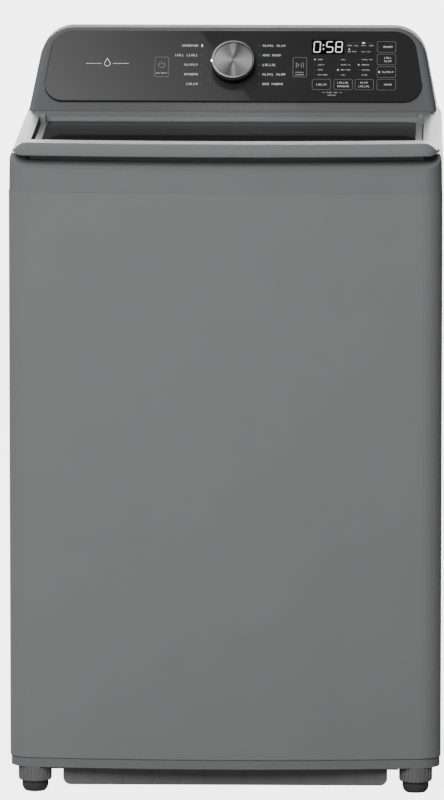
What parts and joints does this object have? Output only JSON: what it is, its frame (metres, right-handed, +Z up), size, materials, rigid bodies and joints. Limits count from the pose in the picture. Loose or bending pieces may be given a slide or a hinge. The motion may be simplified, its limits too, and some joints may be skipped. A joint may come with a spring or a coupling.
{
  "type": "top load washing machine",
  "caption": "Grey top load washing machine with a bowed front, glass lid, sloping gloss control console, knob, hung wash tub, basket and drive.",
  "frame": {"origin": "floor level, at the middle of the machine's width and depth", "axes": "+Z up, front of the machine towards -Y, +X to the right seen from the front"},
  "size_m": [0.686, 0.6999, 1.159],
  "materials": {
    "cabinet_paint": "satin",
    "galvanised_steel": "satin",
    "base_plastic": "satin",
    "rim_plastic": "satin",
    "top_plastic": "gloss",
    "tinted_glass": "gloss",
    "lid_liner": "satin",
    "soft_rubber": "matte",
    "hinge_plastic": "satin",
    "black_plastic": "satin",
    "console_plastic": "gloss",
    "fascia_gloss": "gloss",
    "screw_steel": "satin",
    "knob_black": "gloss",
    "knob_chrome": "polished",
    "knob_aluminium": "brushed",
    "circuit_board": "satin",
    "white_plastic": "satin",
    "hose_rubber": "matte",
    "hose_plastic": "satin",
    "shaft_steel": "satin",
    "spring_steel": "satin",
    "tub_plastic": "satin",
    "cast_aluminium": "cast",
    "motor_paint": "satin",
    "basket_steel": "satin",
    "ring_plastic": "satin",
    "impeller_plastic": "satin",
    "foot_rubber": "matte"
  },
  "bodies": {
    "cabinet": {"cabinet_shell": "cabinet_paint", "rear_panel": "galvanised_steel", "base_frame": "rim_plastic", "front_plinth": "base_plastic", "foot_bosses": "base_plastic", "top_cover": "top_plastic", "lid_hinge_pins": "shaft_steel", "lid_lock_body": "black_plastic", "console_housing": "console_plastic", "fascia_panel": "fascia_gloss", "console_rear_cover": "galvanised_steel", "screws": "screw_steel", "knob_encoder": "black_plastic", "display_board": "circuit_board", "control_box": "black_plastic", "dispenser_housing": "white_plastic", "inlet_valve": "white_plastic", "inlet_hose": "hose_rubber", "power_cord_gland": "black_plastic", "drain_riser": "hose_plastic", "suspension_brackets": "galvanised_steel", "suspension_rods": "shaft_steel", "suspension_springs": "spring_steel"},
    "lid": {"lid_frame": "top_plastic", "lid_glass": "tinted_glass", "lid_inner_frame": "lid_liner", "lid_bumpers": "soft_rubber", "lid_hinge_arms": "hinge_plastic", "lid_strike": "hinge_plastic"},
    "lock_bolt": {"lid_lock_bolt": "hinge_plastic"},
    "knob": {"knob_skirt": "knob_black", "knob_ring": "knob_chrome", "knob_face": "knob_aluminium"},
    "drawer": {"dispenser_drawer": "white_plastic"},
    "tub": {"outer_tub": "tub_plastic", "tub_ring": "tub_plastic", "tub_brace": "galvanised_steel", "gearcase": "cast_aluminium", "bearings": "shaft_steel", "tub_seal": "soft_rubber", "motor_housing": "motor_paint", "drive_belt": "soft_rubber", "drain_pump": "black_plastic", "drain_hoses": "hose_rubber", "suspension_cups": "black_plastic"},
    "basket": {"basket": "basket_steel", "balance_ring": "ring_plastic", "basket_hub": "cast_aluminium", "spin_tube": "shaft_steel"},
    "impeller": {"impeller": "impeller_plastic", "impeller_cap": "impeller_plastic", "agitator_shaft": "shaft_steel"},
    "pulley": {"drive_pulley": "cast_aluminium"},
    "motor_rotor": {"motor_rotor": "shaft_steel", "motor_pulley": "cast_aluminium"},
    "pump_impeller": {"pump_impeller": "white_plastic"},
    "foot_front_left": {"foot_front_left": "foot_rubber"},
    "foot_front_right": {"foot_front_right": "foot_rubber"},
    "foot_rear_left": {"foot_rear_left": "foot_rubber"},
    "foot_rear_right": {"foot_rear_right": "foot_rubber"}
  },
  "joints": [
    {"name": "lid_hinge", "type": "hinge", "parent": "cabinet", "child": "lid", "pos_m": [0, 0.176, 1.015], "axis": [-1, 0, 0], "range_deg": [0, 98]},
    {"name": "lid_lock", "type": "slide", "parent": "cabinet", "child": "lock_bolt", "axis": [0, -1, 0], "range_m": [0, 0.009]},
    {"name": "knob_turn", "type": "hinge", "parent": "cabinet", "child": "knob", "pos_m": [0, 0.2516, 1.10176], "axis": [0, -0.81, 0.5864], "continuous": true},
    {"name": "drawer_slide", "type": "slide", "parent": "cabinet", "child": "drawer", "axis": [0, -1, 0], "range_m": [0, 0.085]},
    {"name": "tub_suspension", "type": "slide", "parent": "cabinet", "child": "tub", "axis": [0, 0, 1], "range_m": [-0.038, 0.008], "stiffness_N_per_m": 16000, "springref_m": 0.02176, "deforming": ["suspension_springs"]},
    {"name": "basket_spin", "type": "hinge", "parent": "tub", "child": "basket", "pos_m": [0, -0.008, 0.3], "axis": [0, 0, 1], "continuous": true},
    {"name": "impeller_spin", "type": "hinge", "parent": "tub", "child": "impeller", "pos_m": [0, -0.008, 0.3], "axis": [0, 0, 1], "continuous": true},
    {"name": "pulley_spin", "type": "hinge", "parent": "tub", "child": "pulley", "pos_m": [0, -0.008, 0.155], "axis": [0, 0, 1], "continuous": true},
    {"name": "motor_spin", "type": "hinge", "parent": "tub", "child": "motor_rotor", "pos_m": [0, 0.152, 0.155], "axis": [0, 0, 1], "continuous": true},
    {"name": "pump_spin", "type": "hinge", "parent": "tub", "child": "pump_impeller", "pos_m": [-0.172, -0.068, 0.2], "axis": [0, 0, 1], "continuous": true},
    {"name": "foot_front_left_screw", "type": "slide", "parent": "cabinet", "child": "foot_front_left", "axis": [0, 0, -1], "range_m": [0, 0.015]},
    {"name": "foot_front_right_screw", "type": "slide", "parent": "cabinet", "child": "foot_front_right", "axis": [0, 0, -1], "range_m": [0, 0.015]},
    {"name": "foot_rear_left_screw", "type": "slide", "parent": "cabinet", "child": "foot_rear_left", "axis": [0, 0, -1], "range_m": [0, 0.015]},
    {"name": "foot_rear_right_screw", "type": "slide", "parent": "cabinet", "child": "foot_rear_right", "axis": [0, 0, -1], "range_m": [0, 0.015]}
  ],
  "couplings": [
    {"joint": "pulley_spin", "follows": "impeller_spin", "ratio": 5.2},
    {"joint": "motor_spin", "follows": "impeller_spin", "ratio": 17.911}
  ]
}
